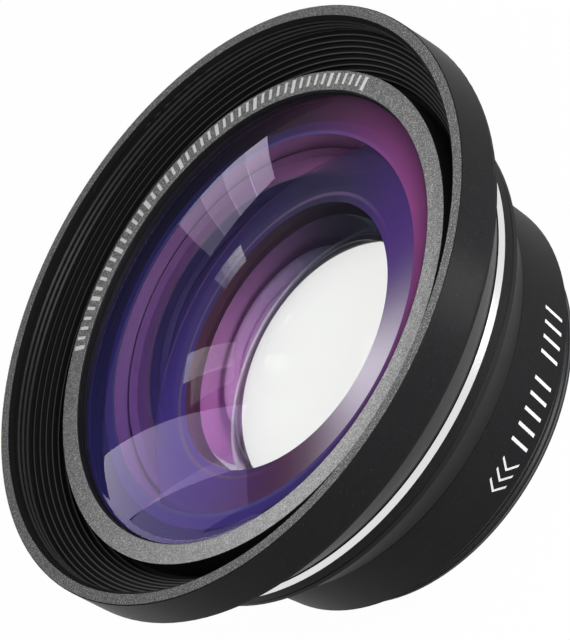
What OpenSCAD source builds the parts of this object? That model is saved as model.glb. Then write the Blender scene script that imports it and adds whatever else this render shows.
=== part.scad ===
// Wide-angle conversion lens in two units: a wide unit that screws into the front of a macro unit.
// Millimetres. The lens stands on the end of its mount thread, with the front glass facing up.

/* [Outside] */
// Outer radius of the front rim
rim_radius = 40; // [33:0.5:47]
// Width of the flat rim face
rim_width = 1.4; // [0.8:0.1:2.4]
// Straight length of the wide band behind the rim
band_length = 5.6; // [5:0.1:12]
// Length of the rounded shoulder behind the wide band
shoulder_length = 1.4; // [1.2:0.1:3]
// Rounding of the shoulder
shoulder_round = 1.2; // [0.4:0.1:1.2]
// Length of the undercut behind the shoulder
undercut_length = 0.4; // [0.2:0.1:1]
// Depth of the undercut below the shoulder
undercut_depth = 0.7; // [0.3:0.1:1]
// Length of the taper from the undercut to the trim ring
taper_length = 5.8; // [5:0.1:12]
// Wall of the rings that slide over the cell tube
ring_wall = 1.65; // [1.2:0.05:2.2]
// Length of the bright trim ring
trim_length = 1.1; // [0.6:0.1:3]
// How far the trim ring stands out of the waist
trim_stand = 0.05; // [0:0.05:0.5]
// Length of the rear grained ring
rear_ring_length = 1.6; // [1:0.1:5]
// Bevel on the edges at the seams
seam_bevel = 0.2; // [0.1:0.05:0.4]

/* [Cell body] */
// Wall of the tube that the outer rings slide over
tube_wall = 1.05; // [0.8:0.05:1.4]
// Length of the flange that the rear grained ring sits on
flange_length = 1; // [0.6:0.1:3]
// How far the flange lies below the waist
flange_drop = 0.15; // [0:0.05:0.5]
// Length of the neck cone
neck_length = 5.7; // [5.2:0.1:12]
// Step from the flange to the neck cone
neck_step = 0.65; // [0.3:0.05:1.2]
// How far the neck cone stands out of the macro barrel at the seam
neck_overhang = 0.3; // [0:0.05:0.6]
// Thickness of the lip between the inner glasses
lip_thickness = 0.8; // [0.5:0.1:1.2]
// How far the lip covers the inner glasses
lip_cover = 1.4; // [0.8:0.1:1.4]
// Width of the funnel's land under the cone spacer
funnel_land = 4.4; // [3:0.1:4.5]
// How far the funnel runs below the front of the second glass
funnel_drop = 0.7; // [0.6:0.1:2]

/* [Hood] */
// Width of the light baffle
baffle_width = 4.4; // [3:0.1:6]
// Depth of the thread bore below the rim
front_thread_depth = 3.6; // [2:0.1:4.6]
// Lead-in bevel of the thread bore
thread_lead_in = 0.5; // [0.2:0.1:0.8]
// Bevel on the rim's outer edge
rim_bevel = 0.15; // [0.05:0.05:0.5]
// Number of steps in the light baffle
baffle_steps = 8; // [3:1:12]
// Depth of the trench below the last step of the baffle
trench_depth = 0.35; // [0.1:0.05:1]
// Width of the trench between the baffle and the name ring
trench_width = 0.7; // [0.4:0.1:1.2]

/* [Name ring] */
// Depth of the name ring's face below the rim
name_ring_depth = 4.35; // [3.5:0.05:5.2]
// Width of the name ring's face
name_ring_width = 2.7; // [2:0.1:3]
// Thickness of the name ring's face
name_ring_face = 0.6; // [0.4:0.1:1]
// Wall of the name ring's skirt
name_ring_wall = 0.95; // [0.7:0.05:1.1]
// Bevel on the name ring's inner edge
name_ring_bevel = 0.2; // [0.1:0.05:0.3]
// Depth of the name ring's skirt
name_ring_skirt = 3.95; // [3:0.05:4.5]
// Thickness of the gasket under the name ring
gasket_thickness = 0.3; // [0.2:0.05:0.6]

/* [Front glass] */
// Thickness of the front glass at its edge
front_glass_edge = 4.8; // [4.4:0.1:5.6]
// Width of the flat seat round the front glass
front_glass_land = 0.8; // [0.4:0.1:1.2]
// How far the front glass bulges
front_glass_rise = 4.9; // [4:0.1:5.4]
// Depth of the hollow at the back of the front glass
front_glass_depth = 7.4; // [5:0.1:8.6]
// Width of the flat back round the front glass's hollow
front_glass_rest = 6.4; // [6:0.1:8]

/* [Inner glasses] */
// Thickness of the cone spacer's flange
spacer_flange = 0.8; // [0.5:0.1:1.2]
// How far the cone spacer's mouth stands back from the front glass's hollow
spacer_mouth_margin = 0.4; // [0.1:0.1:1]
// Width of the cone spacer's foot on the second glass
spacer_foot = 1.6; // [1:0.1:2]
// How much smaller the inner glasses are than the front glass, in radius
inner_step = 10.4; // [8:0.1:12]
// Thickness of the second glass at its edge
second_glass_edge = 6.5; // [6:0.1:7.2]
// Width of the flat seats on the inner glasses
inner_glass_land = 1.6; // [1.5:0.1:2.5]
// Depth of the second glass's front hollow
second_front_depth = 0.9; // [0.5:0.1:1.2]
// Depth of the second glass's rear hollow
second_rear_depth = 4.2; // [3.4:0.1:4.6]
// Thickness of the crown glass at its edge
crown_edge = 1.6; // [1:0.1:2.2]
// How far the crown glass bulges in front
crown_rise = 3; // [1:0.1:3.6]
// How far the cemented face bulges into the flint glass
cement_rise = 1.9; // [1:0.1:2.3]
// Width of the plain edge outside the cemented face
cement_land = 1; // [0.5:0.1:2]
// Thickness of the flint glass at its edge
flint_edge = 3.4; // [3:0.1:4]
// Height of the wide unit's rear retaining ring
rear_lock_height = 0.9; // [0.6:0.1:1.4]
// How far the rear retaining ring lies inside the end of the joint thread
rear_lock_inset = 0.05; // [0:0.05:0.4]
// How far the rear retaining ring covers its glass
rear_lock_cover = 1.4; // [0.8:0.1:2.4]
// How far the rear retaining ring is wider than its glass
rear_lock_step = 0.4; // [0.2:0.1:0.8]

/* [Screw joint] */
// Wall of the thread that joins the two units
stub_wall = 5.05; // [3:0.05:7]
// Length of the thread that joins the two units
joint_thread_length = 3; // [2.6:0.1:3.2]
// Free depth below the end of that thread
joint_thread_relief = 0.4; // [0.2:0.1:1]

/* [Macro barrel] */
// Length of the macro barrel
barrel_length = 9.2; // [9:0.1:14]
// Wall of the macro barrel round the joint thread
joint_wall = 2.95; // [2:0.05:4]
// How much the macro barrel narrows towards its rear end, in radius
barrel_taper = 0.6; // [0:0.1:1.5]
// Bevel on the macro barrel's rear edge
barrel_bevel = 0.4; // [0.2:0.1:0.8]
// Width of the shoulder round the mount thread, which makes that thread 52 mm across
mount_shoulder = 2.4; // [1.5:0.1:4]
// Wall of the mount thread
mount_wall = 2.35; // [1.5:0.05:3]
// Length of the mount thread
mount_thread_length = 3.6; // [3.2:0.1:5]
// Bevel at the end of the mount thread
mount_thread_bevel = 0.3; // [0.1:0.05:0.6]
// Width of the relief groove behind the mount thread
mount_groove_width = 0.4; // [0.3:0.1:0.8]
// Height of the slant from the mount shoulder into the relief groove
mount_groove_slant = 0.2; // [0.1:0.1:0.4]
// Depth of the relief groove behind the mount thread
mount_groove_depth = 0.5; // [0.2:0.1:0.8]
// Thickness of the lip in front of the macro glasses
macro_lip = 0.8; // [0.5:0.1:1]
// How far that lip covers the front macro glass
macro_lip_cover = 1.5; // [0.8:0.1:1.5]
// Width of the flat seats on the macro glasses
macro_glass_land = 1.7; // [1.6:0.1:2.4]
// Thickness of the front macro glass at its edge
macro_front_edge = 1.4; // [1:0.1:1.6]
// How far the front macro glass bulges
macro_front_rise = 1.5; // [0.6:0.1:1.8]
// Height of the spacer between the macro glasses
macro_spacer_height = 1.8; // [1.6:0.1:2.2]
// Width of the spacer between the macro glasses
macro_spacer_width = 1.7; // [1:0.1:2]
// Thickness of the rear macro glass at its edge
macro_rear_edge = 2.2; // [1.6:0.1:2.4]
// Depth of the rear macro glass's hollow face
macro_rear_depth = 1.5; // [0.6:0.1:2]
// How far the rear macro glass bulges
macro_rear_rise = 2.3; // [1:0.1:2.7]
// Height of the macro retaining ring
macro_lock_height = 1.3; // [0.8:0.1:1.6]
// How far the macro retaining ring covers its glass
macro_lock_cover = 1.5; // [0.8:0.1:1.5]
// How far the macro retaining ring is wider than its glass
macro_lock_step = 0.6; // [0.3:0.1:0.8]

/* [Spanner notches] */
// Width of a spanner notch in a retaining ring
notch_width = 1.6; // [1:0.1:2.5]
// Depth of a spanner notch in a retaining ring
notch_depth = 0.5; // [0.3:0.1:0.6]

/* [Clearances] */
// Radial clearance of every piece that slides or screws into another
slip = 0.05; // [0.03:0.01:0.08]
// Free gap below the name ring's skirt and above the cell tube
end_gap = 0.05; // [0.02:0.01:0.2]

/* [Hidden] */
$fn = 160;
// Bodies that are cut away run this far past the faces they cut.
over = 1;

// Heights of the outside, from the end of the mount thread up
barrel_seat_z = mount_thread_length;
seam_z = barrel_seat_z + barrel_length;
neck_top_z = seam_z + neck_length;
flange_top_z = neck_top_z + flange_length;
trim_low_z = flange_top_z + rear_ring_length;
trim_top_z = trim_low_z + trim_length;
taper_top_z = trim_top_z + taper_length;
shoulder_low_z = taper_top_z + undercut_length;
band_low_z = shoulder_low_z + shoulder_length;
rim_z = band_low_z + band_length;

// Radii from the rim inwards, down to the front glass
front_thread_radius = rim_radius - rim_width - thread_lead_in;
trench_radius = front_thread_radius - baffle_width;
name_ring_radius = trench_radius - trench_width;
sleeve_radius = name_ring_radius - name_ring_wall;
cell_tube_radius = sleeve_radius - slip;
front_glass_radius = cell_tube_radius - tube_wall - slip;

// Radii of the outside behind the band
shoulder_radius = rim_radius - shoulder_round;
undercut_radius = shoulder_radius - undercut_depth;
waist_radius = sleeve_radius + ring_wall;
flange_radius = waist_radius - flange_drop;

// Radii from the front glass to the inner glasses, and out again to the two threads behind them
inner_glass_radius = front_glass_radius - inner_step;
inner_bore = inner_glass_radius + slip;
rear_lock_radius = inner_glass_radius + rear_lock_step;
joint_thread_radius = rear_lock_radius + slip + stub_wall;
barrel_front_radius = joint_thread_radius + slip + joint_wall;
barrel_rear_radius = barrel_front_radius - barrel_taper;
neck_rear_radius = barrel_front_radius + neck_overhang;
mount_thread_radius = barrel_rear_radius - mount_shoulder;
macro_lock_radius = mount_thread_radius - mount_wall - slip;
macro_glass_radius = macro_lock_radius - macro_lock_step;
macro_bore = macro_glass_radius + slip;

// Hood: the thread bore, the baffle's steps and the trench round the name ring
baffle_top_z = rim_z - front_thread_depth;
name_ring_top_z = rim_z - name_ring_depth;
name_ring_opening = name_ring_radius - name_ring_width;
skirt_low_z = name_ring_top_z - name_ring_skirt;
trench_floor_z = skirt_low_z - end_gap;
baffle_low_z = trench_floor_z + trench_depth;
step_width = baffle_width / baffle_steps;
step_height = (baffle_top_z - baffle_low_z) / baffle_steps;

// Front stack, from the name ring down
face_low_z = name_ring_top_z - name_ring_face;
front_seat_z = face_low_z - gasket_thickness;
tube_top_z = face_low_z - end_gap;
front_back_z = front_seat_z - front_glass_edge;
flange_seat_z = front_back_z - spacer_flange;
front_glass_hollow = front_glass_radius - front_glass_rest;
spacer_mouth_radius = front_glass_hollow + spacer_mouth_margin;

// Rear stack, from the end of the joint thread up; the cone spacer fills what is left between the stacks
stub_low_z = seam_z - joint_thread_length;
rear_lock_low_z = stub_low_z + rear_lock_inset;
flint_low_z = rear_lock_low_z + rear_lock_height;
crown_low_z = flint_low_z + flint_edge;
crown_top_z = crown_low_z + crown_edge;
second_low_z = crown_top_z + lip_thickness;
second_top_z = second_low_z + second_glass_edge;

// Macro stack, from the joint thread down
joint_floor_z = stub_low_z - joint_thread_relief;
macro_top_z = joint_floor_z - macro_lip;
macro_spacer_top_z = macro_top_z - macro_front_edge;
macro_rear_top_z = macro_spacer_top_z - macro_spacer_height;
macro_rear_low_z = macro_rear_top_z - macro_rear_edge;
macro_lock_low_z = macro_rear_low_z - macro_lock_height;

// Radius of the ball whose cap rises this far over a circle of radius clear
function ball_radius(rise, clear) = (clear * clear + rise * rise) / (2 * rise);

// A plain ring between two heights
module ring(inner, outer, low, high) {
    translate([0, 0, low])
        difference() {
            cylinder(r = outer, h = high - low);
            translate([0, 0, -over])
                cylinder(r = inner, h = high - low + 2 * over);
        }
}

// A cap of a ball that stands on the plane at height z, as wide as clear. It points up, or down for dir = -1.
module ball_cap(rise, clear, z, dir = 1) {
    ball = ball_radius(rise, clear);
    translate([0, 0, z])
        intersection() {
            translate([0, 0, dir * (rise - ball)])
                sphere(r = ball);
            translate([0, 0, dir > 0 ? 0 : -rise - over])
                cylinder(r = clear + over, h = rise + over);
        }
}

// Two notches across a retaining ring's lower face
module spanner_notches(outer, low) {
    translate([-outer - over, -notch_width / 2, low - over])
        cube([2 * (outer + over), notch_width, notch_depth + over]);
}

// Corners of the baffle's steps, from the thread bore down to the trench
baffle_corners = [
    for (i = [0 : baffle_steps - 1], corner = [0, 1])
        [front_thread_radius - step_width * (i + corner), baffle_top_z - step_height * i]
];

// Hood, wide band, shoulder and taper, turned as one piece
module front_barrel() {
    color("#2e2e30")
        rotate_extrude()
            union() {
                translate([shoulder_radius, band_low_z])
                    intersection() {
                        circle(r = shoulder_round);
                        translate([0, -shoulder_round])
                            square([shoulder_round, shoulder_round]);
                    }
                polygon(concat(
                    [
                        [sleeve_radius, trim_top_z],
                        [waist_radius - seam_bevel, trim_top_z],
                        [waist_radius, trim_top_z + seam_bevel],
                        [undercut_radius, taper_top_z],
                        [undercut_radius, shoulder_low_z],
                        [shoulder_radius, shoulder_low_z],
                        [shoulder_radius, band_low_z],
                        [rim_radius, band_low_z],
                        [rim_radius, rim_z - rim_bevel],
                        [rim_radius - rim_bevel, rim_z],
                        [front_thread_radius + thread_lead_in, rim_z],
                        [front_thread_radius, rim_z - thread_lead_in]
                    ],
                    baffle_corners,
                    [
                        [trench_radius, trench_floor_z],
                        [sleeve_radius, trench_floor_z]
                    ]
                ));
            }
}

// Bezel that screws over the cell tube and holds the front glass down
module name_ring() {
    color("#8c8c8c")
        rotate_extrude()
            polygon([
                [name_ring_opening, face_low_z],
                [sleeve_radius, face_low_z],
                [sleeve_radius, skirt_low_z],
                [name_ring_radius, skirt_low_z],
                [name_ring_radius, name_ring_top_z],
                [name_ring_opening + name_ring_bevel, name_ring_top_z],
                [name_ring_opening, name_ring_top_z - name_ring_bevel]
            ]);
}

module front_gasket() {
    color("#141414")
        ring(name_ring_opening, front_glass_radius, front_seat_z, face_low_z);
}

// Thick front meniscus with a flat seat on both sides
module front_glass() {
    clear = front_glass_radius - front_glass_land;
    color("#5a3a9a", 0.6)
        difference() {
            union() {
                translate([0, 0, front_back_z])
                    cylinder(r = front_glass_radius, h = front_glass_edge);
                ball_cap(front_glass_rise, clear, front_seat_z);
            }
            ball_cap(front_glass_depth, front_glass_hollow, front_back_z);
        }
}

// Blackened cone between the front glass and the second glass
module cone_spacer() {
    foot_inner = inner_glass_radius - spacer_foot;
    foot_outer = inner_glass_radius - 2 * slip;
    color("#1a1a1c")
        rotate_extrude()
            polygon([
                [spacer_mouth_radius, front_back_z],
                [front_glass_radius, front_back_z],
                [front_glass_radius, flange_seat_z],
                [front_glass_radius - funnel_land - spacer_flange, flange_seat_z],
                [foot_outer, second_top_z],
                [foot_inner, second_top_z]
            ]);
}

// Hollow on both sides, with flat seats
module second_glass() {
    clear = inner_glass_radius - inner_glass_land;
    color("#6a4fb0", 0.6)
        difference() {
            translate([0, 0, second_low_z])
                cylinder(r = inner_glass_radius, h = second_glass_edge);
            ball_cap(second_front_depth, clear, second_top_z, -1);
            ball_cap(second_rear_depth, clear, second_low_z);
        }
}

// Turned body that holds every glass of the wide unit, with its neck cone and joint thread
module cell_body() {
    color("#3a3a3c")
        rotate_extrude()
            polygon([
                [front_glass_radius + slip, tube_top_z],
                [cell_tube_radius, tube_top_z],
                [cell_tube_radius, flange_top_z],
                [flange_radius - seam_bevel, flange_top_z],
                [flange_radius, flange_top_z - seam_bevel],
                [flange_radius, neck_top_z + seam_bevel],
                [flange_radius - neck_step, neck_top_z],
                [neck_rear_radius, seam_z + seam_bevel],
                [neck_rear_radius - seam_bevel, seam_z],
                [joint_thread_radius, seam_z],
                [joint_thread_radius, stub_low_z + mount_thread_bevel],
                [joint_thread_radius - mount_thread_bevel, stub_low_z],
                [rear_lock_radius + slip, stub_low_z],
                [rear_lock_radius + slip, flint_low_z],
                [inner_bore, flint_low_z],
                [inner_bore, crown_top_z],
                [inner_glass_radius - lip_cover, crown_top_z],
                [inner_glass_radius - lip_cover, second_low_z],
                [inner_bore, second_low_z],
                [inner_bore, second_top_z - funnel_drop],
                [front_glass_radius - funnel_land, flange_seat_z],
                [front_glass_radius + slip, flange_seat_z]
            ]);
}

// Front half of the cemented pair
module crown_glass() {
    clear = inner_glass_radius - inner_glass_land;
    color("#7fb8a0", 0.6)
        union() {
            translate([0, 0, crown_low_z])
                cylinder(r = inner_glass_radius, h = crown_edge);
            ball_cap(crown_rise, clear, crown_top_z);
            ball_cap(cement_rise, inner_glass_radius - cement_land, crown_low_z, -1);
        }
}

// Rear half of the cemented pair, hollowed to take the crown glass
module flint_glass() {
    color("#8fb0c8", 0.6)
        difference() {
            translate([0, 0, flint_low_z])
                cylinder(r = inner_glass_radius, h = flint_edge);
            ball_cap(cement_rise, inner_glass_radius - cement_land, crown_low_z, -1);
        }
}

module rear_retaining_ring() {
    color("#202022")
        difference() {
            ring(inner_glass_radius - rear_lock_cover, rear_lock_radius, rear_lock_low_z, flint_low_z);
            spanner_notches(rear_lock_radius, rear_lock_low_z);
        }
}

module silver_trim_ring() {
    color("#e8e8e8")
        ring(sleeve_radius, waist_radius + trim_stand, trim_low_z, trim_top_z);
}

// Grained ring between the flange and the trim ring
module rear_ring() {
    color("#2e2e30")
        rotate_extrude()
            polygon([
                [sleeve_radius, flange_top_z],
                [waist_radius - seam_bevel, flange_top_z],
                [waist_radius, flange_top_z + seam_bevel],
                [waist_radius, trim_low_z],
                [sleeve_radius, trim_low_z]
            ]);
}

// Turned barrel with the joint bore in front, the mount thread behind and the macro glasses inside
module macro_barrel() {
    groove_top_z = barrel_seat_z - mount_groove_slant;
    groove_low_z = groove_top_z - mount_groove_width;
    groove_radius = mount_thread_radius - mount_groove_depth;
    color("#2a2a2c")
        rotate_extrude()
            polygon([
                [joint_thread_radius + slip + seam_bevel, seam_z],
                [barrel_front_radius - seam_bevel, seam_z],
                [barrel_front_radius, seam_z - seam_bevel],
                [barrel_rear_radius, barrel_seat_z + barrel_bevel],
                [barrel_rear_radius - barrel_bevel, barrel_seat_z],
                [mount_thread_radius + slip, barrel_seat_z],
                [groove_radius, groove_top_z],
                [groove_radius, groove_low_z],
                [mount_thread_radius, groove_low_z],
                [mount_thread_radius, mount_thread_bevel],
                [mount_thread_radius - mount_thread_bevel, 0],
                [macro_lock_radius + slip, 0],
                [macro_lock_radius + slip, macro_rear_low_z],
                [macro_bore, macro_rear_low_z],
                [macro_bore, macro_top_z],
                [macro_glass_radius - macro_lip_cover, macro_top_z],
                [macro_glass_radius - macro_lip_cover, joint_floor_z],
                [joint_thread_radius + slip, joint_floor_z],
                [joint_thread_radius + slip, seam_z - seam_bevel]
            ]);
}

// Glass with a bulging front and a flat back
module macro_front_glass() {
    color("#7fa8c8", 0.6)
        union() {
            translate([0, 0, macro_spacer_top_z])
                cylinder(r = macro_glass_radius, h = macro_front_edge);
            ball_cap(macro_front_rise, macro_glass_radius - macro_glass_land, macro_top_z);
        }
}

module macro_spacer() {
    color("#1a1a1c")
        ring(macro_glass_radius - macro_spacer_width, macro_glass_radius, macro_rear_top_z, macro_spacer_top_z);
}

// Glass with a hollow front and a bulging back
module macro_rear_glass() {
    clear = macro_glass_radius - macro_glass_land;
    color("#7fa8c8", 0.6)
        difference() {
            union() {
                translate([0, 0, macro_rear_low_z])
                    cylinder(r = macro_glass_radius, h = macro_rear_edge);
                ball_cap(macro_rear_rise, clear, macro_rear_low_z, -1);
            }
            ball_cap(macro_rear_depth, clear, macro_rear_top_z, -1);
        }
}

module macro_retaining_ring() {
    color("#202022")
        difference() {
            ring(macro_glass_radius - macro_lock_cover, macro_lock_radius, macro_lock_low_z, macro_rear_low_z);
            spanner_notches(macro_lock_radius, macro_lock_low_z);
        }
}

front_barrel();
name_ring();
front_gasket();
front_glass();
cone_spacer();
second_glass();
cell_body();
crown_glass();
flint_glass();
rear_retaining_ring();
silver_trim_ring();
rear_ring();
macro_barrel();
macro_front_glass();
macro_spacer();
macro_rear_glass();
macro_retaining_ring();
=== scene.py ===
# %% [markdown]
# A wide-angle conversion lens screws on the front of a camera lens. The turned metal and the glasses come
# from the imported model, which is the fixed frame here. Blender adds what a solid model can't carry: the
# finish of each surface, the fine threads, the printed marks and the coatings on the glass.
# Everything is in metres, and the lens stands on its mount thread with the front glass up.

# %% Load the frame
import bpy
import math
from mathutils import Matrix, Vector


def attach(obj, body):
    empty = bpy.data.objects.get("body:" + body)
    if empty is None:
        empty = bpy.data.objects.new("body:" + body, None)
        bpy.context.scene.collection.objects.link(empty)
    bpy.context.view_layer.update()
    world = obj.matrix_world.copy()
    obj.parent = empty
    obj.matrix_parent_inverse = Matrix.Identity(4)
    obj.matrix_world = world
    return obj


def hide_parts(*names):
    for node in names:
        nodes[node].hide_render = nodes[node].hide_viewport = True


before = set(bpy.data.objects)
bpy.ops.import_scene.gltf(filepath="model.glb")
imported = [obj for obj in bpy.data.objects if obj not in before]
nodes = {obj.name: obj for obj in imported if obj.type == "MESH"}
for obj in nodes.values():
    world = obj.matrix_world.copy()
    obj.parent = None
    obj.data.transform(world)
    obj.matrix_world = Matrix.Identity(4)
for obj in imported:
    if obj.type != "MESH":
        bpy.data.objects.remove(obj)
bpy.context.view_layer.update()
MM = 0.001

# %% [markdown]
# The picture was taken with a long lens, so its circles stay nearly true ellipses. The camera stands on the
# near side, looks down at the hood at 35 degrees and is rolled by 60 degrees, which makes the lens lean over
# in the picture. A camera could also be aimed with a Track To constraint, but a fixed matrix keeps the roll
# exact. Its columns are the camera's right, up and backward directions.

# %% Camera
camera_data = bpy.data.cameras.new("studio_camera")
camera = bpy.data.objects.new("studio_camera", camera_data)
bpy.context.scene.collection.objects.link(camera)
camera_data.lens = 225
camera_data.sensor_width = 36
camera_right = Vector((0.4976, -0.5048, -0.7054)).normalized()
camera_back = Vector((-0.0034, -0.8144, 0.5804)).normalized()
camera_up = camera_back.cross(camera_right).normalized()
camera_right = camera_up.cross(camera_back).normalized()
camera_turn = Matrix((camera_right, camera_up, camera_back)).transposed().to_4x4()
camera.matrix_world = Matrix.Translation((0.0, -0.4010, 0.3112)) @ camera_turn
camera_data.clip_start = 0.01
bpy.context.scene.camera = camera
bpy.context.scene.view_settings.view_transform = "Standard"
print("camera stands", round((camera.location - Vector((0, 0, 0.0354))).length, 3), "m from the rim")

# %% [markdown]
# Materials are built from nodes, and the same three steps come back in all of them: add a node, set its
# values, link its sockets. Two small helpers keep that short. The first one adds a node and sets its inputs
# by name, the second one starts a material with an empty Principled shader in it.

# %% Helpers for node trees
def add(tree, kind, values=None, **settings):
    node = tree.nodes.new(kind)
    for name, value in settings.items():
        setattr(node, name, value)
    for name, value in (values or {}).items():
        if isinstance(value, bpy.types.NodeSocket):
            tree.links.new(value, node.inputs[name])
        else:
            node.inputs[name].default_value = value
    return node


def new_finish(name, **values):
    material = bpy.data.materials.new(name)
    material.use_nodes = True
    tree = material.node_tree
    shader = tree.nodes["Principled BSDF"]
    for socket, value in values.items():
        shader.inputs[socket.replace("_", " ")].default_value = value
    return material, tree, shader


def math_node(tree, operation, *inputs, clamp=False):
    node = add(tree, "ShaderNodeMath", operation=operation, use_clamp=clamp)
    for k, value in enumerate(inputs):
        if isinstance(value, bpy.types.NodeSocket):
            tree.links.new(value, node.inputs[k])
        else:
            node.inputs[k].default_value = value
    return node.outputs[0]


print("helpers ready")

# %% [markdown]
# The floor is a plain pale table. To the camera and through the glass it is nearly white, because the shader
# mixes in a white glow for those rays only; mirrors see that glow dimmed. To all other light it is a matt
# surface, so the lens keeps its soft shadow. A disc of rings is enough, since nothing on it needs to bend.

# %% Floor
def make_floor(count=96, radii=(0.25, 1.0, 3.0)):
    turns = [2 * math.pi * k / count for k in range(count)]
    verts = [(0, 0, 0)] + [(r * math.cos(t), r * math.sin(t), 0) for r in radii for t in turns]
    faces = [(0, 1 + k, 1 + (k + 1) % count) for k in range(count)]
    for low in range(1, 1 + count * (len(radii) - 1), count):
        high = low + count
        faces += [(low + k, high + k, high + (k + 1) % count, low + (k + 1) % count) for k in range(count)]
    mesh = bpy.data.meshes.new("floor")
    mesh.from_pydata(verts, [], faces)
    floor = bpy.data.objects.new("floor", mesh)
    bpy.context.scene.collection.objects.link(floor)
    return floor


floor = make_floor()
floor.location.z = -0.02 * MM
pale_table, tree, shader = new_finish("pale_table", Base_Color=(0.86, 0.86, 0.86, 1), Roughness=0.8)
shader.inputs["Specular IOR Level"].default_value = 0.1
path = add(tree, "ShaderNodeLightPath")
mirrored = math_node(tree, "SUBTRACT", path.outputs["Is Glossy Ray"], path.outputs["Is Transmission Ray"], clamp=True)
dimming = math_node(tree, "MULTIPLY_ADD", mirrored, -0.22, 1.0)
glow = add(tree, "ShaderNodeEmission", {"Color": (1, 1, 1, 1), "Strength": dimming})
share = math_node(tree, "MULTIPLY", path.outputs["Is Camera Ray"], 0.98)
share = math_node(tree, "MAXIMUM", share, path.outputs["Is Glossy Ray"])
share = math_node(tree, "MAXIMUM", share, path.outputs["Is Transmission Ray"])
mixed = add(tree, "ShaderNodeMixShader", {0: share, 1: shader.outputs[0], 2: glow.outputs[0]})
tree.links.new(mixed.outputs[0], tree.nodes["Material Output"].inputs["Surface"])
floor.data.materials.append(pale_table)
print("floor of", len(floor.data.polygons), "faces")

# %% [markdown]
# A studio tent gives soft light from all sides. The world stands for it. The camera sees it white and matt
# surfaces take its light, but mirrors and glass see it nearly black. So no haze lies over the glass, and the
# softboxes stand out in their reflections.

# %% World
world = bpy.data.worlds.new("tent")
bpy.context.scene.world = world
world.use_nodes = True
tree = world.node_tree
path = add(tree, "ShaderNodeLightPath")
tent_white, tent_light, tent_mirrored = 1.0, 0.45, 0.1
strength = math_node(tree, "MULTIPLY_ADD", path.outputs["Is Diffuse Ray"], tent_light - tent_mirrored, tent_mirrored)
strength = math_node(tree, "MAXIMUM", strength, math_node(tree, "MULTIPLY", path.outputs["Is Camera Ray"], tent_white))
tree.nodes["Background"].inputs["Color"].default_value = (1, 1, 1, 1)
tree.links.new(strength, tree.nodes["Background"].inputs["Strength"])
print("tent strength", tent_light)

# %% [markdown]
# An area lamp is the computer's softbox. In this picture the lamps matter twice: they light the metal, and
# their straight edges show as reflections in the front glass. So each one is placed by the direction in which
# it is seen from the lens (its bearing and its height above the table), and by how wide it looks from there.
# The watts follow from its area and from how bright its face should be. The far softbox is four strips side
# by side, because its reflection fades towards the left.

# %% Lamps
rim_middle = Vector((0, 0, 0.0354))


def softbox(name, bearing, rise, wide, high, brightness, distance=0.6, colour=(1, 1, 1)):
    a, e = math.radians(bearing), math.radians(rise)
    place = rim_middle + distance * Vector((math.cos(a) * math.cos(e), math.sin(a) * math.cos(e), math.sin(e)))
    data = bpy.data.lights.new(name, "AREA")
    data.shape = "RECTANGLE"
    data.size = 2 * distance * math.tan(math.radians(wide / 2))
    data.size_y = 2 * distance * math.tan(math.radians(high / 2))
    data.energy = brightness * math.pi * data.size * data.size_y
    data.color = colour
    lamp = bpy.data.objects.new(name, data)
    bpy.context.scene.collection.objects.link(lamp)
    lamp.location = place
    lamp.rotation_euler = (rim_middle - place).to_track_quat("-Z", "Y").to_euler()
    lamp.visible_camera = False
    print(name, "stands at", [round(v, 2) for v in place], "and takes", round(data.energy, 2), "W")
    return lamp


softbox("near_softbox", -68, 30, 34, 30, 8.0, distance=0.17)
for k, brightness in enumerate((2.6, 2.1, 1.4, 0.8)):
    softbox(f"far_softbox_{k + 1}", 76.9 + 2.75 * k, 13, 2.68, 23, brightness)
softbox("left_softbox", 112.5, 33, 9, 36, 2.6)
softbox("left_fill_softbox", 122, 38, 8, 30, 1.3)
softbox("side_strip", -59, -19, 14, 14, 8.0, distance=0.072)

# %% [markdown]
# Several finishes need to know where on the lens they are: how far from the axis, how high, and how far
# round. This group works that out from the object's own coordinates, in millimetres and degrees, so every
# material can hold several finishes with clean borders between them, as a lathe leaves them.

# %% Group: place on the lens
def new_group(name, inputs, outputs):
    tree = bpy.data.node_groups.new(name, "ShaderNodeTree")
    for label, kind, value in inputs:
        socket = tree.interface.new_socket(label, in_out="INPUT", socket_type=kind)
        socket.default_value = value
    for label, kind in outputs:
        tree.interface.new_socket(label, in_out="OUTPUT", socket_type=kind)
    return tree, tree.nodes.new("NodeGroupInput"), tree.nodes.new("NodeGroupOutput")


place_group, gin, gout = new_group(
    "place_on_lens", [],
    [("Radius", "NodeSocketFloat"), ("Height", "NodeSocketFloat"), ("Turn", "NodeSocketFloat")],
)
spot = add(place_group, "ShaderNodeTexCoord").outputs["Object"]
parts = add(place_group, "ShaderNodeSeparateXYZ", {0: spot}).outputs
across = math_node(place_group, "ADD", math_node(place_group, "POWER", parts[0], 2.0),
                   math_node(place_group, "POWER", parts[1], 2.0))
place_group.links.new(math_node(place_group, "MULTIPLY", math_node(place_group, "SQRT", across), 1000.0), gout.inputs[0])
place_group.links.new(math_node(place_group, "MULTIPLY", parts[2], 1000.0), gout.inputs[1])
round_turn = math_node(place_group, "ARCTAN2", parts[1], parts[0])
place_group.links.new(math_node(place_group, "MULTIPLY", round_turn, 180 / math.pi), gout.inputs[2])
print("group", place_group.name)
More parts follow.
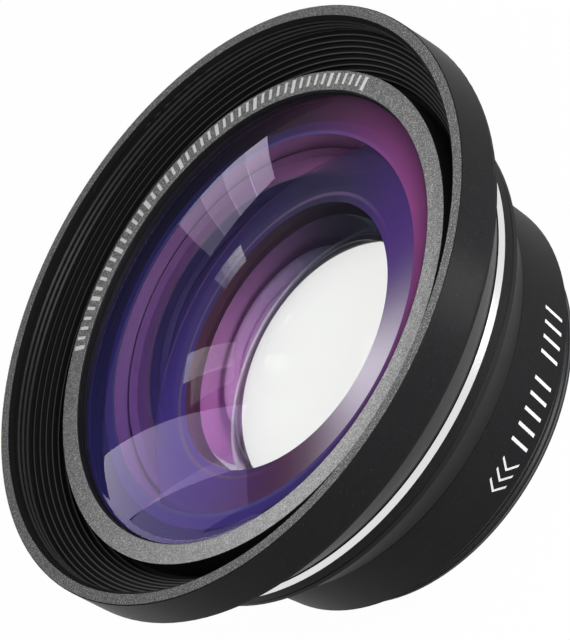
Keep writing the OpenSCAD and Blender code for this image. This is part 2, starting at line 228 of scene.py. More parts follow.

# %% [markdown]
# Blasted aluminium is peppered with tiny dents before it is anodised. A fine noise gives the tone of the grains,
# and its brightest spots are painted glints: sparkles of light painted into the colour. The same noise is the
# height for a bump. The group is used for the rim, the name ring and, with a lower strength, for the black barrels.

# %% Group: blasted grain
grain_group, gin, gout = new_group(
    "blasted_grain",
    [("Grain per mm", "NodeSocketFloat", 6.0), ("Glint share", "NodeSocketFloat", 0.3)],
    [("Tone", "NodeSocketFloat"), ("Painted glint", "NodeSocketFloat"), ("Height", "NodeSocketFloat")],
)
spot = add(grain_group, "ShaderNodeTexCoord").outputs["Object"]
fine = math_node(grain_group, "MULTIPLY", gin.outputs[0], 1000.0)
grains = add(grain_group, "ShaderNodeTexNoise", {"Vector": spot, "Scale": fine, "Detail": 2.0, "Roughness": 0.6})
coarse = add(grain_group, "ShaderNodeTexNoise",
             {"Vector": spot, "Scale": math_node(grain_group, "MULTIPLY", fine, 0.12), "Detail": 3.0})
tone = add(grain_group, "ShaderNodeMapRange",
           {"Value": grains.outputs["Fac"], "From Min": 0.3, "From Max": 0.7, "To Min": 0.0, "To Max": 1.0})
cut = math_node(grain_group, "SUBTRACT", 0.72, math_node(grain_group, "MULTIPLY", gin.outputs[1], 0.3))
# Painted glints: the brightest grains, which stand in for sparkles of light.
painted_glint = add(grain_group, "ShaderNodeMapRange",
            {"Value": grains.outputs["Fac"], "From Min": cut, "From Max": math_node(grain_group, "ADD", cut, 0.1)})
grain_group.links.new(math_node(grain_group, "MULTIPLY_ADD", coarse.outputs["Fac"], 0.25,
                                math_node(grain_group, "MULTIPLY", tone.outputs[0], 0.75)), gout.inputs[0])
grain_group.links.new(painted_glint.outputs[0], gout.inputs[1])
grain_group.links.new(grains.outputs["Fac"], gout.inputs[2])
print("group", grain_group.name)

# %% [markdown]
# A turned face keeps the track of the tool: very fine rings, some a little deeper. Noise that only changes
# with radius and height draws them, because it is constant all the way round.

# %% Group: tool marks
tool_group, gin, gout = new_group(
    "tool_marks", [("Marks per mm", "NodeSocketFloat", 8.0)],
    [("Tone", "NodeSocketFloat"), ("Height", "NodeSocketFloat")],
)
where = add(tool_group, "ShaderNodeGroup", node_tree=place_group)
line = add(tool_group, "ShaderNodeCombineXYZ", {0: where.outputs["Radius"], 1: where.outputs["Height"]})
marks = add(tool_group, "ShaderNodeTexNoise",
            {"Vector": line.outputs[0], "Scale": gin.outputs[0], "Detail": 4.0, "Roughness": 0.7})
tool_group.links.new(marks.outputs["Fac"], gout.inputs[0])
tool_group.links.new(marks.outputs["Fac"], gout.inputs[1])
print("group", tool_group.name)

# %% [markdown]
# Fine dust and finger marks keep dark anodise from looking like plastic. A slow noise changes the gloss, and
# sparse specks lift the tone a little.

# %% Group: handling
handling_group, gin, gout = new_group(
    "handling", [("Dust", "NodeSocketFloat", 0.5)],
    [("Gloss", "NodeSocketFloat"), ("Dust", "NodeSocketFloat")],
)
spot = add(handling_group, "ShaderNodeTexCoord").outputs["Object"]
smear = add(handling_group, "ShaderNodeTexNoise", {"Vector": spot, "Scale": 90.0, "Detail": 4.0, "Roughness": 0.55})
specks = add(handling_group, "ShaderNodeTexVoronoi", {"Vector": spot, "Scale": 700.0})
speck = add(handling_group, "ShaderNodeMapRange",
            {"Value": specks.outputs["Distance"], "From Min": 0.02, "From Max": 0.09, "To Min": 1.0, "To Max": 0.0})
handling_group.links.new(smear.outputs["Fac"], gout.inputs[0])
handling_group.links.new(math_node(handling_group, "MULTIPLY", speck.outputs[0], gin.outputs[0]), gout.inputs[1])
print("group", handling_group.name)

# %% [markdown]
# The coatings of a real lens don't look the same all the way round, because each side faces another part of
# the studio. This group gives a soft share that is 1 towards one bearing and 0 on the far side; the finishes use
# it to paint light, shade and reflections that change round the lens.

# %% Group: side shade
side_group, gin, gout = new_group(
    "side_shade", [("Bearing", "NodeSocketFloat", 0.0), ("Tightness", "NodeSocketFloat", 1.0)],
    [("Share", "NodeSocketFloat")],
)
where = add(side_group, "ShaderNodeGroup", node_tree=place_group)
angle = math_node(side_group, "MULTIPLY", math_node(side_group, "SUBTRACT", where.outputs["Turn"], gin.outputs[0]), math.pi / 180)
side = math_node(side_group, "MULTIPLY_ADD", math_node(side_group, "COSINE", angle), 0.5, 0.5)
side_group.links.new(math_node(side_group, "POWER", side, gin.outputs[1]), gout.inputs[0])
print("group", side_group.name)

# %% [markdown]
# A mask helper. It is 1 between two values and 0 outside, with a border of a few hundredths of a millimetre,
# and it picks the finish of a zone: the rim's face, the baffle's steps, the thread.

# %% Zone masks
def zone(tree, value, low, high, soft=0.03):
    up = add(tree, "ShaderNodeMapRange", {"Value": value, "From Min": low - soft, "From Max": low + soft}).outputs[0]
    down = add(tree, "ShaderNodeMapRange", {"Value": value, "From Min": high - soft, "From Max": high + soft,
                                            "To Min": 1.0, "To Max": 0.0}).outputs[0]
    return math_node(tree, "MULTIPLY", up, down)


def blend(tree, share, first, second):
    node = add(tree, "ShaderNodeMix", data_type="RGBA")
    for k, value in ((0, share), (6, first), (7, second)):
        if isinstance(value, bpy.types.NodeSocket):
            tree.links.new(value, node.inputs[k])
        else:
            node.inputs[k].default_value = value if k == 0 else (*value, 1.0)
    return node.outputs[2]


def bump(tree, shader, height, distance, strength=1.0):
    node = add(tree, "ShaderNodeBump", {"Strength": strength, "Distance": distance, "Height": height})
    tree.links.new(node.outputs[0], shader.inputs["Normal"])
    return node


def place_nodes(tree):
    return add(tree, "ShaderNodeGroup", node_tree=place_group).outputs


def grain_nodes(tree, per_mm, painted_glints):
    return add(tree, "ShaderNodeGroup", {"Grain per mm": per_mm, "Glint share": painted_glints}, node_tree=grain_group).outputs


def tool_nodes(tree, per_mm):
    return add(tree, "ShaderNodeGroup", {"Marks per mm": per_mm}, node_tree=tool_group).outputs


def side_share(tree, bearing, tightness):
    return add(tree, "ShaderNodeGroup", {"Bearing": bearing, "Tightness": tightness}, node_tree=side_group).outputs[0]


def handling_nodes(tree, dust):
    return add(tree, "ShaderNodeGroup", {"Dust": dust}, node_tree=handling_group).outputs


print("mask helpers ready")

# %% [markdown]
# The front barrel is one turned piece with three finishes. Its outside is grained black anodise, the flat rim
# face is blasted to a grey, both with painted glints in the grain, and the hood inside is matte black, with a
# painted highlight along the corner of each of the baffle's steps. One material holds all three, picked by radius and
# height.

# %% Finish: front barrel
barrel_black, tree, shader = new_finish("grained_black_barrel", Roughness=0.42)
shader.inputs["Specular IOR Level"].default_value = 0.045
radius, height, turn = place_nodes(tree)
grain = grain_nodes(tree, 7.0, 0.22)
hand = handling_nodes(tree, 0.25)
black = blend(tree, grain["Tone"], (0.008, 0.008, 0.009), (0.017, 0.017, 0.018))
# Painted glints in the grained black.
black = blend(tree, math_node(tree, "MULTIPLY", grain["Painted glint"], 0.25), black, (0.09, 0.09, 0.09))
rim = zone(tree, height, 35.36, 36.0, 0.012)
rim_grain = grain_nodes(tree, 8.0, 0.5)
rim_grey = blend(tree, rim_grain["Tone"], (0.035, 0.035, 0.035), (0.19, 0.19, 0.19))
# Painted glints on the blasted rim face.
rim_grey = blend(tree, math_node(tree, "MULTIPLY", rim_grain["Painted glint"], 0.6), rim_grey, (0.75, 0.75, 0.75))
inside = math_node(tree, "MULTIPLY", math_node(tree, "LESS_THAN", radius, 38.62), zone(tree, height, 20.0, 35.35))
colour = blend(tree, inside, black, (0.01, 0.01, 0.01))
# A painted highlight: a thin lighter grey line along the corner of each baffle step.
step = math_node(tree, "FRACT", math_node(tree, "DIVIDE", math_node(tree, "SUBTRACT", 38.1, radius), 0.55))
crest = math_node(tree, "MULTIPLY", zone(tree, step, 0.72, 1.2, 0.12), zone(tree, radius, 33.75, 38.05))
crest = math_node(tree, "MULTIPLY", math_node(tree, "MULTIPLY", crest, inside), 0.5)
colour = blend(tree, crest, colour, (0.16, 0.16, 0.16))
colour = blend(tree, rim, colour, rim_grey)
colour = blend(tree, math_node(tree, "MULTIPLY", hand["Dust"], 0.3), colour, (0.3, 0.3, 0.3))
tree.links.new(colour, shader.inputs["Base Color"])
rough = math_node(tree, "MULTIPLY_ADD", hand["Gloss"], 0.12, 0.3)
rough = math_node(tree, "ADD", rough, math_node(tree, "MULTIPLY", inside, -0.06))
shoulder = zone(tree, height, 20.0, 29.6, 0.15)
rough = math_node(tree, "MULTIPLY_ADD", math_node(tree, "SUBTRACT", shoulder, inside, clamp=True), 0.28, rough)
tree.links.new(rough, shader.inputs["Roughness"])
bump(tree, shader, grain["Height"], 0.00002, 0.35)
print("finish", barrel_black.name)

# %% [markdown]
# The name ring is the grey bezel round the front glass. Its face is blasted like the rim, with painted glints in
# its grain, and its grey is painted lighter towards one side and darker on the far side, as painted light and
# shade. The wall that goes down to the glass is inked black, so that it sends no light into the glass.

# %% Finish: name ring
ring_grey, tree, shader = new_finish("blasted_name_ring", Roughness=0.45)
shader.inputs["Specular IOR Level"].default_value = 0.4
radius, height, turn = place_nodes(tree)
grain = grain_nodes(tree, 8.0, 0.5)
painted_shade = blend(tree, grain["Tone"], (0.025, 0.025, 0.025), (0.27, 0.27, 0.27))
painted_bright = blend(tree, grain["Tone"], (0.1, 0.1, 0.1), (0.62, 0.62, 0.62))
# Painted light and shade: the grey is lighter towards bearing -112 degrees and darker on the far side.
grey = blend(tree, side_share(tree, -112, 3.0), painted_shade, painted_bright)
# Painted glints: the brightest grains are lifted to near white.
grey = blend(tree, math_node(tree, "MULTIPLY", grain["Painted glint"], 0.6), grey, (0.85, 0.85, 0.85))
grey = blend(tree, math_node(tree, "LESS_THAN", height, 30.98), grey, (0.008, 0.008, 0.009))
tree.links.new(grey, shader.inputs["Base Color"])
bump(tree, shader, grain["Height"], 0.00003, 0.5)
print("finish", ring_grey.name)

# %% [markdown]
# The cell body shows as a smooth satin neck cone between the grained barrels. It has faint tool marks only,
# and at its lower end the joint thread that screws into the macro unit. The thread's form is drawn as a
# saw-tooth height that climbs by one pitch in each turn, which a bump turns into grooves.

# %% Group: thread form
thread_group, gin, gout = new_group("thread_form", [("Pitch", "NodeSocketFloat", 0.75)], [("Height", "NodeSocketFloat")])
where = add(thread_group, "ShaderNodeGroup", node_tree=place_group)
climb = math_node(thread_group, "DIVIDE", where.outputs["Height"], gin.outputs[0])
climb = math_node(thread_group, "SUBTRACT", climb, math_node(thread_group, "DIVIDE", where.outputs["Turn"], 360.0))
saw = math_node(thread_group, "ABSOLUTE", math_node(thread_group, "MULTIPLY_ADD", math_node(thread_group, "FRACT", climb), 2.0, -1.0))
thread_group.links.new(saw, gout.inputs[0])
print("group", thread_group.name)

# %% Finish: smooth cell body
def threaded_black(name, tones, low, high, crest, roughness, per_mm, grained):
    material, tree, shader = new_finish(name, Roughness=roughness)
    shader.inputs["Specular IOR Level"].default_value = 0.05
    radius, height, turn = place_nodes(tree)
    hand = handling_nodes(tree, 0.25)
    fine = grain_nodes(tree, per_mm, 0.22) if grained else tool_nodes(tree, per_mm)
    colour = blend(tree, fine["Tone"], tones[0], tones[1])
    if grained:
        # Painted glints in the grained black.
        colour = blend(tree, math_node(tree, "MULTIPLY", fine["Painted glint"], 0.25), colour, (0.09, 0.09, 0.09))
    thread = add(tree, "ShaderNodeGroup", {"Pitch": 0.75}, node_tree=thread_group).outputs[0]
    on_thread = math_node(tree, "MULTIPLY", zone(tree, height, low, high, 0.05), zone(tree, radius, crest - 0.4, crest + 0.05))
    worn = math_node(tree, "MULTIPLY", on_thread, math_node(tree, "POWER", thread, 3.0))
    colour = blend(tree, math_node(tree, "MULTIPLY", worn, 0.5), colour, (0.25, 0.25, 0.26))
    colour = blend(tree, math_node(tree, "MULTIPLY", hand["Dust"], 0.3), colour, (0.3, 0.3, 0.3))
    if not grained:
        colour = painted_bore_reflections(tree, radius, height, colour)
    tree.links.new(colour, shader.inputs["Base Color"])
    tree.links.new(math_node(tree, "MULTIPLY_ADD", hand["Gloss"], 0.12, roughness - 0.06), shader.inputs["Roughness"])
    depth = math_node(tree, "MULTIPLY_ADD", math_node(tree, "MULTIPLY", thread, on_thread), 14.0, fine["Height"])
    bump(tree, shader, depth, 0.00002, 0.4)
    print("finish", material.name)
    return material


def painted_bore_reflections(tree, radius, height, colour):
    """The bore that the inner glasses sit in, with the coatings' coloured reflections painted on it: wine on most
    sides, teal towards one.
    """
    # Painted reflections: teal towards bearing 20 degrees, a brighter wine towards 170 degrees.
    top, low = side_share(tree, 20, 2.0), side_share(tree, 170, 3.0)
    wine = blend(tree, low, (0.06, 0.012, 0.04), (0.12, 0.02, 0.08))
    tint = blend(tree, top, wine, (0.015, 0.03, 0.045))
    bore = math_node(tree, "MULTIPLY", math_node(tree, "LESS_THAN", radius, 29.0), zone(tree, height, 9.9, 24.5))
    bore = math_node(tree, "MULTIPLY", bore, math_node(tree, "LESS_THAN", radius, math_node(tree, "MULTIPLY_ADD", height, 0.9, 9.0)))
    colour = blend(tree, bore, colour, tint)
    # A painted highlight on the seat's edge under the inner glasses: near white on most sides, dark blue towards
    # bearing -12.
    lip = math_node(tree, "MULTIPLY", math_node(tree, "LESS_THAN", radius, 19.15), zone(tree, height, 15.7, 16.5))
    return blend(tree, lip, colour, blend(tree, side_share(tree, -12, 2.5), (0.8, 0.82, 0.85), (0.06, 0.09, 0.13)))


neck_black = threaded_black("smooth_black_cell", ((0.014, 0.014, 0.015), (0.02, 0.02, 0.021)), 9.85, 12.75, 26.0, 0.34, 10.0, False)
macro_black = threaded_black("grained_black_macro", ((0.008, 0.008, 0.009), (0.017, 0.017, 0.018)), 0.3, 3.0, 26.0, 0.42, 7.0, True)
waist_black = threaded_black("grained_black_ring", ((0.008, 0.008, 0.009), (0.017, 0.017, 0.018)), 0.0, 0.0, 0.0, 0.4, 7.0, True)

# %% [markdown]
# The trim ring is bright turned aluminium. Metallic is 1, so its colour is the colour of its reflection, and
# the tool's track breaks the reflection into fine lines.

# %% Finish: silver trim ring
silver, tree, shader = new_finish("turned_silver", Metallic=1.0, Roughness=0.22)
marks = tool_nodes(tree, 9.0)
tree.links.new(blend(tree, marks["Tone"], (0.9, 0.9, 0.91), (1.0, 1.0, 1.0)), shader.inputs["Base Color"])
tree.links.new(math_node(tree, "MULTIPLY_ADD", marks["Tone"], 0.2, 0.14), shader.inputs["Roughness"])
bump(tree, shader, marks["Height"], 0.00001, 0.3)
print("finish", silver.name)

# %% [markdown]
# The pieces behind the front glass are inked matte black, so that no stray light reaches the picture. In the
# photograph the coatings colour what little light they send back. The ink here is a very dark tone with a
# slight tint for each piece, with fine tool marks under it.

# %% Finish: inked inner pieces
def inked(name, first, second, roughness=0.5, per_mm=7.0):
    material, tree, shader = new_finish(name, Roughness=roughness)
    shader.inputs["Specular IOR Level"].default_value = 0.3
    marks = tool_nodes(tree, per_mm)
    hand = handling_nodes(tree, 0.2)
    tree.links.new(blend(tree, marks["Tone"], first, second), shader.inputs["Base Color"])
    tree.links.new(math_node(tree, "MULTIPLY_ADD", hand["Gloss"], 0.1, roughness - 0.05), shader.inputs["Roughness"])
    bump(tree, shader, marks["Height"], 0.00001, 0.3)
    print("finish", material.name)
    return material


gasket_black = inked("gasket_black", (0.006, 0.006, 0.006), (0.012, 0.012, 0.012), 0.7)
lock_black = inked("matte_black_rings", (0.010, 0.010, 0.011), (0.016, 0.016, 0.017), 0.45)

for name, finish in {
    "front_barrel": barrel_black, "name_ring": ring_grey, "front_gasket": gasket_black,
    "cell_body": neck_black, "rear_retaining_ring": lock_black, "silver_trim_ring": silver, "rear_ring": waist_black,
    "macro_barrel": macro_black, "macro_spacer": lock_black, "macro_retaining_ring": lock_black,
}.items():
    for place in nodes[name].material_slots:
        place.material = finish
print("finishes set on the metal pieces")

# %% [markdown]
# A glass has to be smooth to a fraction of a degree, or the picture through it breaks up. So each glass is
# made again here, to the same size as its solid, as a lathe shape with fine, even rings and smooth normals.
# A Screw modifier could turn the profile too; a small function that builds the rings keeps the number of
# faces and the material of each zone in hand.

# %% Lathe helper
def lathe(name, profile, zones, count=160, closed=False, sharp=25):
    verts, faces, kinds = [], [], []
    rows = []
    for r, z in profile:
        if r < 1e-6:
            rows.append([len(verts)])
            verts.append((0, 0, z * MM))
        else:
            rows.append(list(range(len(verts), len(verts) + count)))
            verts += [(r * MM * math.cos(2 * math.pi * k / count), r * MM * math.sin(2 * math.pi * k / count), z * MM)
                      for k in range(count)]
    for i in range(len(rows) - (0 if closed else 1)):
        a, b = rows[i], rows[(i + 1) % len(rows)]
        for k in range(count):
            n = (k + 1) % count
            if len(a) == 1:
                faces.append((a[0], b[k], b[n]))
            elif len(b) == 1:
                faces.append((a[k], b[0], a[n]))
            else:
                faces.append((a[k], b[k], b[n], a[n]))
            kinds.append(zones[i % len(zones)])
    mesh = bpy.data.meshes.new(name)
    mesh.from_pydata(verts, [], faces)
    mesh.polygons.foreach_set("material_index", kinds)
    mesh.polygons.foreach_set("use_smooth", [True] * len(faces))
    mesh.update()
    mesh.set_sharp_from_angle(angle=math.radians(sharp))
    piece = bpy.data.objects.new(name, mesh)
    bpy.context.scene.collection.objects.link(piece)
    return piece


def cap(clear, rise, base, steps=28, outwards=True):
    """Points of a ball cap from the axis to its edge; rise is negative for a cap that dips."""
    ball = (clear * clear + rise * rise) / (2 * abs(rise))
    sign = 1 if rise > 0 else -1
    points = []
    for k in range(steps + 1):
        r = clear * k / steps
        points.append((r, base + sign * (abs(rise) - ball + math.sqrt(ball * ball - r * r))))
    return points if outwards else points[::-1]


print("lathe ready")

# %% [markdown]
# The glasses. Their outer zones are polished, and their cylinder edges and flat backs are inked, as real
# glasses are, which stops light from entering at the side. The numbers are those of the solids: radius,
# seat, bulge and hollow, in millimetres.

# %% Glass finishes
def polished(name, coating, ior=1.5):
    material, tree, shader = new_finish(name, Base_Color=(1, 1, 1, 1), Roughness=0.0, IOR=ior)
    shader.inputs["Transmission Weight"].default_value = 1.0
    shader.inputs["Specular Tint"].default_value = (*coating, 1.0)
    path = add(tree, "ShaderNodeLightPath")
    passing = math_node(tree, "MULTIPLY", path.outputs["Is Shadow Ray"], 0.95)
    tree.links.new(math_node(tree, "SUBTRACT", 1.0, passing), shader.inputs["Alpha"])
    print("finish", material.name)
    return material


blue_coating = polished("blue_coated_glass", (0.5, 0.25, 0.9), 1.45)
magenta_coating = polished("magenta_coated_glass", (0.2, 0.09, 0.22), 1.45)
violet_coating = polished("violet_coated_glass", (0.05, 0.06, 0.04), 1.6)
rose_coating = polished("rose_coated_glass", (0.05, 0.06, 0.04), 1.6)
crown_coating = polished("crown_coated_glass", (0.05, 0.06, 0.04), 1.45)


# %% [markdown]
# The ink on the glasses' edges isn't seen in one way only. Some of it shows directly, some of it after one or
# more total reflections inside the glass, and each bounce adds the coatings' colour. The Light Path node
# counts the bounces, so each ink has one painted tone for each range of them: these colours are painted
# reflections of the coatings, painted lighter or darker round the lens.

# %% Inks inside the glasses, with painted reflections
far_side, top_side, low_side = 90, -12, 170


def painted_light_by_side(tree, far, top, low):
    """Painted light and reflections that change round the lens: far side, upper right and lower left of the picture."""
    colour = blend(tree, side_share(tree, top_side, 2.5), far, top)
    return blend(tree, side_share(tree, low_side, 2.5), colour, low)


def glass_ink_and_painted_light(name, zones, roughness=0.5):
    """zones(tree, radius, height) gives the colours with their lowest count of bounces."""
    material, tree, shader = new_finish(name, Roughness=roughness)
    shader.inputs["Specular IOR Level"].default_value = 0.2
    radius, height, turn = place_nodes(tree)
    bounces = add(tree, "ShaderNodeLightPath").outputs["Ray Depth"]
    colour = None
    for lowest, tone in zones(tree, radius, height):
        colour = tone if colour is None else blend(tree, math_node(tree, "GREATER_THAN", bounces, lowest - 0.5), colour, tone)
    marks = tool_nodes(tree, 7.0)
    colour = blend(tree, math_node(tree, "MULTIPLY", marks["Tone"], 0.3), colour, (0.01, 0.01, 0.02))
    tree.links.new(colour, shader.inputs["Base Color"])
    bump(tree, shader, marks["Height"], 0.00001, 0.2)
    print("finish", material.name)
    return material


def painted_violet_reflection(tree):
    # A painted violet reflection, changing round the lens.
    return painted_light_by_side(tree, (0.022, 0.015, 0.09), (0.008, 0.008, 0.035), (0.04, 0.02, 0.2))


def painted_mauve_reflection(tree):
    # A painted mauve reflection, changing round the lens.
    return painted_light_by_side(tree, (0.18, 0.065, 0.24), (0.25, 0.09, 0.22), (0.17, 0.07, 0.32))


def edge_zones(tree, radius, height):
    # Seen directly the edge is near black with a lighter band from 28.0 to 28.5 mm high; after two and four bounces it
    # takes the painted mauve and violet reflections.
    direct = blend(tree, zone(tree, height, 28.0, 28.5, 0.1), (0.01, 0.01, 0.012), (0.04, 0.035, 0.05))
    return (0, direct), (2, painted_mauve_reflection(tree)), (4, painted_violet_reflection(tree))


def back_zones(tree, radius, height):
    # Painted reflections on the inked flat back: dark navy outside, lighter blue-violet from 24.0 to 26.4 mm, both
    # lighter on the lower left.
    outer = painted_light_by_side(tree, (0.008, 0.008, 0.014), (0.012, 0.01, 0.014), (0.03, 0.028, 0.16))
    inner = painted_light_by_side(tree, (0.02, 0.02, 0.12), (0.025, 0.02, 0.09), (0.07, 0.04, 0.3))
    direct = blend(tree, zone(tree, radius, 24.0, 26.4, 0.1), outer, inner)
    # A painted light-blue highlight arc at the hollow's edge, from 24.0 to 25.0 mm.
    direct = blend(tree, zone(tree, radius, 24.0, 25.0, 0.1), direct, (0.07, 0.07, 0.26))
    # A painted magenta reflection towards bearing -42 degrees.
    direct = blend(tree, side_share(tree, -42, 6.0), direct, (0.42, 0.09, 0.36))
    # After two bounces: painted mauve outside 27.2 mm, painted violet inside, and a painted grey arc from 26.6 to 27.2
    # mm; after four, painted violet.
    middle = blend(tree, zone(tree, radius, 27.2, 40.0, 0.1), painted_violet_reflection(tree), painted_mauve_reflection(tree))
    middle = blend(tree, zone(tree, radius, 26.6, 27.2, 0.1), middle, (0.13, 0.1, 0.17))
    return (0, direct), (2, middle), (4, painted_violet_reflection(tree))


def inner_edge_zones(tree, radius, height):
    # Painted reflections on the inner edges: maroon seen directly, pink after four bounces, pale lilac after five, each
    # changing round the lens.
    maroon = painted_light_by_side(tree, (0.05, 0.01, 0.035), (0.012, 0.018, 0.03), (0.08, 0.012, 0.045))
    pink = painted_light_by_side(tree, (0.14, 0.05, 0.16), (0.02, 0.035, 0.06), (0.5, 0.15, 0.5))
    pale = painted_light_by_side(tree, (0.34, 0.2, 0.42), (0.08, 0.13, 0.2), (0.65, 0.3, 0.68))
    # A painted near-white highlight on the land from 15.5 to 16.0 mm high, dark blue-grey towards the upper right.
    land = zone(tree, height, 15.5, 16.0)
    painted_bright = painted_light_by_side(tree, (0.85, 0.86, 0.88), (0.1, 0.14, 0.19), (0.85, 0.8, 0.88))
    return tuple((count, blend(tree, land, tone, painted_bright)) for count, tone in ((0, maroon), (4, pink), (5, pale)))


edge_violet = glass_ink_and_painted_light("inked_front_edge_painted_reflections", edge_zones)
back_ink_and_reflections = glass_ink_and_painted_light("inked_front_back_painted_reflections", back_zones)
edge_wine = glass_ink_and_painted_light("inked_inner_edge_painted_reflections", inner_edge_zones)

# %% Spacer cone
spacer_ink_and_reflections, tree, shader = new_finish("inked_spacer_painted_reflections", Roughness=0.5)
shader.inputs["Specular IOR Level"].default_value = 0.2
radius, height, turn = place_nodes(tree)
# Painted reflections of the coatings: blue-violet changing round the lens, a painted grey arc from 19.7 to 20.1 mm,
# maroon towards bearing -115 and violet towards -44.
colour = painted_light_by_side(tree, (0.035, 0.02, 0.11), (0.008, 0.01, 0.035), (0.05, 0.025, 0.24))
colour = blend(tree, zone(tree, radius, 19.7, 20.1, 0.1), colour, (0.11, 0.07, 0.16))
colour = blend(tree, side_share(tree, -115, 7.0), colour, (0.07, 0.014, 0.05))
colour = blend(tree, side_share(tree, -44, 9.0), colour, (0.07, 0.018, 0.22))
# A painted near-white highlight in a narrow patch towards bearing -86 degrees.
colour = blend(tree, side_share(tree, -86, 26.0), colour, (0.9, 0.8, 0.98))
tree.links.new(colour, shader.inputs["Base Color"])
bump(tree, shader, tool_nodes(tree, 7.0)["Height"], 0.00001, 0.2)
for place in nodes["cone_spacer"].material_slots:
    place.material = spacer_ink_and_reflections
print("finish", spacer_ink_and_reflections.name)

# %% Front glass
front_profile = cap(30.1, 4.9, 30.15) + [(30.8, 30.14), (30.88, 30.06), (30.88, 25.45), (30.8, 25.38)]
front_zones = [0] * 28 + [2, 2, 2, 2]
front_profile += cap(24.5, 7.4, 25.38, outwards=False)
front_zones += [1] + [3] * 28
front_lens = lathe("front_lens", front_profile, front_zones)
for finish in (blue_coating, back_ink_and_reflections, edge_violet, magenta_coating):
    front_lens.data.materials.append(finish)
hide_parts("front_glass")
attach(front_lens, "wide_unit")
print("front lens:", len(front_lens.data.polygons), "faces")

# %% Second glass
second_profile = cap(18.9, -0.9, 23.03) + [(20.4, 23.03), (20.48, 22.95), (20.48, 16.65), (20.4, 16.57)]
second_zones = [0] * 28 + [1, 1, 1, 1]
second_profile += cap(18.9, 4.2, 16.57, outwards=False)
second_zones += [1] + [2] * 28
second_lens = lathe("second_lens", second_profile, second_zones)
for finish in (violet_coating, edge_wine, rose_coating):
    second_lens.data.materials.append(finish)
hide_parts("second_glass")
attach(second_lens, "screw_carriage")
print("second lens:", len(second_lens.data.polygons), "faces")

# %% Cemented pair
crown_profile = cap(18.9, 3.0, 15.75) + [(20.45, 15.75), (20.5, 15.7), (20.5, 14.2), (20.45, 14.15)]
crown_zones = [0] * 28 + [1, 1, 1, 1]
crown_profile += cap(19.5, -1.9, 14.15, outwards=False)
crown_zones += [1] + [0] * 28
crown_lens = lathe("crown_lens", crown_profile, crown_zones)
for finish in (crown_coating, edge_wine):
    crown_lens.data.materials.append(finish)
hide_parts("crown_glass")
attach(crown_lens, "wide_unit")

flint_clear, tree, shader = new_finish("polished_flint_glass", Base_Color=(0.85, 0.9, 1.0, 1.0), Roughness=0.0, IOR=1.5)
shader.inputs["Alpha"].default_value = 0.04
flint_profile = cap(19.5, -1.91, 14.14) + [(20.5, 14.14), (20.5, 10.8), (20.45, 10.75), (0, 10.75)]
flint_lens = lathe("flint_lens", flint_profile, [0] * 28 + [1, 1, 1, 0])
for finish in (flint_clear, edge_wine):
    flint_lens.data.materials.append(finish)
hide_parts("flint_glass")
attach(flint_lens, "wide_unit")
print("cemented pair:", len(crown_lens.data.polygons) + len(flint_lens.data.polygons), "faces")

# %% Macro glasses
macro_clear = polished("pale_coated_glass", (0.05, 0.06, 0.04), 1.35)
edge_black = inked("inked_macro_edge", (0.01, 0.01, 0.01), (0.02, 0.02, 0.02), 0.5)
macro_front_profile = cap(21.3, 1.5, 8.6) + [(22.95, 8.6), (23.0, 8.55), (23.0, 7.25), (22.95, 7.2), (0, 7.2)]
macro_front_lens = lathe("macro_front_lens", macro_front_profile, [0] * 28 + [1, 1, 1, 1, 0])
macro_rear_profile = cap(21.3, -1.5, 5.4) + [(22.95, 5.4), (23.0, 5.35), (23.0, 3.25), (22.95, 3.2)]
macro_rear_profile += cap(21.3, -2.3, 3.2, outwards=False)
macro_rear_lens = lathe("macro_rear_lens", macro_rear_profile, [0] * 28 + [1, 1, 1, 1, 1] + [0] * 28)
for lens, node in ((macro_front_lens, "macro_front_glass"), (macro_rear_lens, "macro_rear_glass")):
    lens.data.materials.append(macro_clear)
    lens.data.materials.append(edge_black)
    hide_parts(node)
    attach(lens, "macro_unit")
print("macro glasses:", len(macro_front_lens.data.polygons) + len(macro_rear_lens.data.polygons), "faces")

# %% [markdown]
# The threads are single-start helical ridges with a pitch of 0.75 mm, as filter threads have. A Screw modifier
# on a small triangle would make them too. Here the triangle is carried round by hand, so that it fades in and
# out over a quarter turn at each end, as a cut thread does.

# %% Thread ridges
def ridge(name, radius, low, high, height, body, pitch=0.75, per_turn=120):
    """A helical ridge on a cylinder; height is negative for a thread inside a bore."""
    steps = int((high - low) / pitch * per_turn)
    verts, faces = [], []
    for k in range(steps + 1):
        turn = 2 * math.pi * k / per_turn
        z = low + pitch * k / per_turn
        full = min(1.0, k / (per_turn / 4), (steps - k) / (per_turn / 4))
        foot = radius - 0.02 * (1 if height > 0 else -1)
        for r, dz in ((foot, -0.3 * pitch), (radius + height * full, 0.0), (foot, 0.3 * pitch)):
            verts.append((r * MM * math.cos(turn), r * MM * math.sin(turn), (z + dz) * MM))
        if k:
            a, b = 3 * (k - 1), 3 * k
            for i, j in ((0, 1), (1, 2), (2, 0)):
                face = (a + i, b + i, b + j, a + j)
                faces.append(face if height > 0 else face[::-1])
    faces += [(0, 1, 2), (3 * steps + 2, 3 * steps + 1, 3 * steps)]
    mesh = bpy.data.meshes.new(name)
    mesh.from_pydata(verts, [], faces)
    piece = bpy.data.objects.new(name, mesh)
    bpy.context.scene.collection.objects.link(piece)
    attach(piece, body)
    print(name, "has", len(faces), "faces and", round((high - low) / pitch, 1), "turns")
    return piece


front_thread = ridge("front_thread", 38.1, 32.2, 34.6, -0.16, "wide_unit")
mount_thread = ridge("mount_thread", 26.0, 0.6, 2.7, 0.14, "macro_unit")
joint_thread = ridge("joint_thread", 26.0, 10.4, 12.5, 0.035, "wide_unit")
thread_black = inked("worn_thread_black", (0.012, 0.012, 0.013), (0.05, 0.05, 0.052), 0.35, 11.0)
for piece in (front_thread, mount_thread, joint_thread):
    piece.data.materials.append(thread_black)

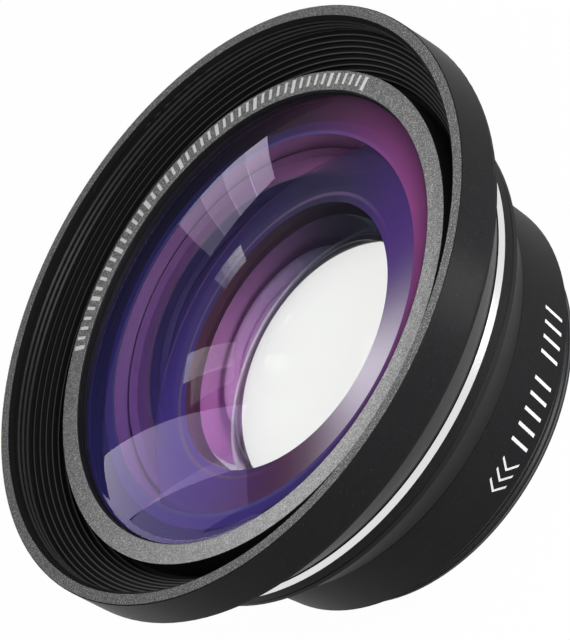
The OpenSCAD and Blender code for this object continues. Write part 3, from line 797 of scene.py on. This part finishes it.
# %% [markdown]
# Lenses of this kind carry printed words on the bezel and on the macro barrel. This part has no words. Plain
# ticks and chevrons stand in their places, as thin white prints with a real edge. Each mark is a flat shape
# that is laid on the metal and given a hundredth of a millimetre or two of thickness.

# %% Printed marks
def around(psi, radius, z):
    """A point on the lens; psi is the angle from the side nearest the camera, in degrees."""
    a = math.radians(psi)
    return Vector((-radius * math.sin(a) * MM, -radius * math.cos(a) * MM, z * MM))


def print_marks(name, shapes, body):
    """Each shape is a list of pairs of points, foot and top, round its outline."""
    verts, faces = [], []
    for outline in shapes:
        first, count = len(verts), len(outline)
        verts += [foot for foot, top in outline] + [top for foot, top in outline]
        faces.append(tuple(first + count + k for k in range(count)))
        faces.append(tuple(first + k for k in reversed(range(count))))
        faces += [(first + k, first + (k + 1) % count, first + count + (k + 1) % count, first + count + k)
                  for k in range(count)]
    mesh = bpy.data.meshes.new(name)
    mesh.from_pydata(verts, [], faces)
    piece = bpy.data.objects.new(name, mesh)
    bpy.context.scene.collection.objects.link(piece)
    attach(piece, body)
    print(name, "has", len(shapes), "marks")
    return piece


def ring_tick(psi, inner, outer, width):
    half = math.degrees(width / 2 / ((inner + outer) / 2))
    corners = ((psi - half, inner), (psi + half, inner), (psi + half, outer), (psi - half, outer))
    return [(around(p, r, 31.04), around(p, r, 31.07)) for p, r in corners]


def barrel_shape(points):
    """Points are (psi, height) on the macro barrel, which tapers from 29.0 at 12.6 to 28.4 at 4.0."""
    outline = []
    for psi, z in points:
        r = 28.4 + 0.6 * (z - 4.0) / 8.6
        outline.append((around(psi, r - 0.02, z), around(psi, r + 0.02, z)))
    return outline


ticks = []
for k in range(46):
    long_one = k % 5 == 0
    ticks.append(ring_tick(153 + 2.5 * k, 30.85 if long_one else 31.2, 32.7, 0.6 if long_one else 0.45))
ring_ticks = print_marks("ring_ticks", ticks, "wide_unit")

marks = []
for psi in (7.9, 4.9, 1.9):
    for tip, tail in ((6.5, 7.95), (6.5, 5.05)):
        marks.append(barrel_shape([(psi, tip), (psi - 2.4, tail), (psi - 3.1, tail), (psi - 0.75, tip)]))
for psi, low, high in ((-4.5, 5.0, 8.2), (-8.5, 5.0, 8.2), (-12.5, 5.0, 8.2), (-16.5, 5.0, 8.2), (-20.5, 5.0, 8.2),
                       (-27.5, 5.0, 8.2), (-31.5, 5.0, 8.2), (-35.5, 5.0, 8.2), (-39.5, 5.0, 8.2)):
    marks.append(barrel_shape([(psi, low), (psi - 0.9, low), (psi - 1.9, high), (psi - 1.0, high)]))
barrel_marks = print_marks("barrel_marks", marks, "macro_unit")

# %% Finish: white print
print_white, tree, shader = new_finish("white_print", Roughness=0.5)
worn = handling_nodes(tree, 0.4)
tree.links.new(blend(tree, worn["Gloss"], (0.62, 0.62, 0.62), (0.8, 0.8, 0.8)), shader.inputs["Base Color"])
for piece in (ring_ticks, barrel_marks):
    piece.data.materials.append(print_white)
print("finish", print_white.name)
